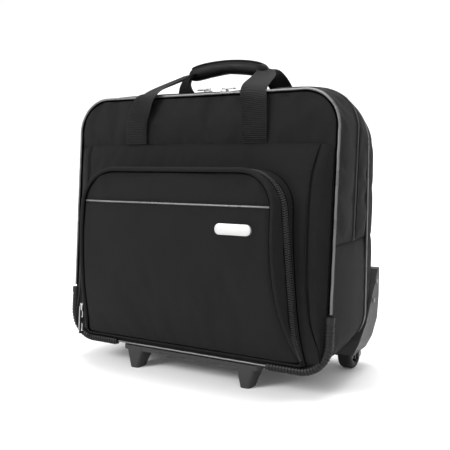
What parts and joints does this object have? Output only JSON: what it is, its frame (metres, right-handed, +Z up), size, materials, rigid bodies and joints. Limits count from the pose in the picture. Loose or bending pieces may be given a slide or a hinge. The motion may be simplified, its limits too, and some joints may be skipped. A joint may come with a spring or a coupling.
{
  "type": "rolling pilot case",
  "caption": "Soft-sided rolling pilot case with a front stand, two wheels, telescopic handle, padded carry handle and a zipped organiser pocket that folds open.",
  "frame": {"origin": "on the floor, midway between the sides and midway between the foremost point (the badge) and the rearmost (the housing rivets)", "axes": "+Z up, -Y out of the front face, +X to the right as seen from the front"},
  "size_m": [0.4524, 0.2552, 0.475],
  "materials": {
    "case_fabric": "woven ballistic nylon, matt",
    "pocket_fabric": "woven nylon twill, matt",
    "lining": "smooth lining cloth",
    "webbing": "ribbed nylon webbing",
    "wrap_leather": "smooth padded leatherette",
    "silver_piping": "silver grey vinyl piping",
    "black_piping": "black vinyl piping",
    "guard_rubber": "ribbed black rubber",
    "zip_tape": "woven tape",
    "zip_coil": "nylon coil",
    "board": "covered fibreboard",
    "frame_plastic": "moulded polypropylene",
    "foam_cloth": "cloth over foam",
    "housing_plastic": "grained dark grey plastic",
    "stand_plastic": "grained dark grey plastic",
    "black_plastic": "satin black plastic",
    "tyre_rubber": "polyurethane tread",
    "nickel": "polished nickel",
    "steel": "zinc-plated steel",
    "aluminium": "satin anodised",
    "badge_metal": "satin plate, blank"
  },
  "bodies": {
    "case": {"front_panel": "case_fabric", "upper_front_gusset": "case_fabric", "upper_rear_gusset": "case_fabric", "lower_gusset": "case_fabric", "rear_gusset": "case_fabric", "back_panel": "case_fabric", "slip_pocket_panel": "pocket_fabric", "slip_pocket_gussets": "pocket_fabric", "organiser_wall": "pocket_fabric", "organiser_board": "lining", "pen_loops": "lining", "laptop_sleeve": "foam_cloth", "divider": "foam_cloth", "strap_ends": "webbing", "laptop_strap": "webbing", "front_piping": "silver_piping", "rear_piping": "silver_piping", "corner_guard_left": "guard_rubber", "corner_guard_right": "guard_rubber", "main_zip_tape": "zip_tape", "main_zip_teeth": "zip_coil", "organiser_teeth": "zip_coil", "base_board": "board", "hoop_stiffener": "frame_plastic", "housing_left": "housing_plastic", "housing_right": "housing_plastic", "stand": "stand_plastic", "handle_bezel": "black_plastic", "lower_bracket": "black_plastic", "axles": "steel", "housing_rivets": "steel", "stand_screws": "steel", "outer_tubes": "aluminium"},
    "pocket_lid": {"lid_panel": "pocket_fabric", "lid_wall": "pocket_fabric", "lid_teeth": "zip_coil", "lid_piping": "black_piping", "lid_trim": "silver_piping", "badge": "badge_metal"},
    "carry_handle": {"handle_wrap": "wrap_leather", "front_straps": "webbing", "rear_straps": "webbing"},
    "middle_stage": {"middle_tubes": "aluminium", "middle_collars": "black_plastic"},
    "inner_stage": {"inner_tubes": "aluminium", "trolley_grip": "black_plastic"},
    "release_button": {"release_button": "black_plastic", "push_rods": "steel"},
    "wheel_left": {"tyre_left": "tyre_rubber", "hub_left": "black_plastic"},
    "wheel_right": {"tyre_right": "tyre_rubber", "hub_right": "black_plastic"},
    "main_slider_left": {"main_slider_left": "nickel"},
    "main_slider_right": {"main_slider_right": "nickel"},
    "main_pull_left": {"main_pull_left": "nickel"},
    "main_pull_right": {"main_pull_right": "nickel"},
    "pocket_slider": {"pocket_slider": "nickel"},
    "pocket_pull": {"pocket_pull": "nickel"}
  },
  "joints": [
    {"name": "wheel_left_spin", "type": "hinge", "parent": "case", "child": "wheel_left", "pos_m": [-0.19, 0.088, 0.025], "axis": [1, 0, 0], "continuous": true},
    {"name": "wheel_right_spin", "type": "hinge", "parent": "case", "child": "wheel_right", "pos_m": [0.19, 0.088, 0.025], "axis": [1, 0, 0], "continuous": true},
    {"name": "middle_stage_slide", "type": "slide", "parent": "case", "child": "middle_stage", "axis": [0, 0, 1], "range_m": [0, 0.27]},
    {"name": "inner_stage_slide", "type": "slide", "parent": "middle_stage", "child": "inner_stage", "axis": [0, 0, 1], "range_m": [0, 0.26]},
    {"name": "release_button_press", "type": "slide", "parent": "inner_stage", "child": "release_button", "axis": [0, 0, -1], "range_m": [0, 0.0035], "stiffness_N_per_m": 300},
    {"name": "carry_handle_lift", "type": "slide", "parent": "case", "child": "carry_handle", "axis": [0, 0, 1], "range_m": [-0.006, 0.01], "stiffness_N_per_m": 200},
    {"name": "pocket_lid_fold", "type": "hinge", "parent": "case", "child": "pocket_lid", "pos_m": [0, -0.08266, 0.04476], "axis": [1, 0, 0], "range_deg": [0, 70]},
    {"name": "main_slider_left_run", "type": "slide", "parent": "case", "child": "main_slider_left", "axis": [-1, 0, 0], "range_m": [0, 0.11]},
    {"name": "main_slider_right_run", "type": "slide", "parent": "case", "child": "main_slider_right", "axis": [1, 0, 0], "range_m": [0, 0.13]},
    {"name": "main_pull_left_swing", "type": "hinge", "parent": "main_slider_left", "child": "main_pull_left", "pos_m": [-0.027, 0.02601, 0.4296], "axis": [0, 1, 0], "range_deg": [0, 65]},
    {"name": "main_pull_right_swing", "type": "hinge", "parent": "main_slider_right", "child": "main_pull_right", "pos_m": [0.003, 0.02601, 0.4296], "axis": [0, -1, 0], "range_deg": [0, 65]},
    {"name": "pocket_slider_run", "type": "slide", "parent": "case", "child": "pocket_slider", "axis": [0.0852, -0.0091, 0.9963], "range_m": [0, 0.1643]},
    {"name": "pocket_pull_swing", "type": "hinge", "parent": "pocket_slider", "child": "pocket_pull", "pos_m": [-0.18758, -0.09723, 0.08916], "axis": [0, 1, 0.0091], "range_deg": [0, 110]}
  ]
}
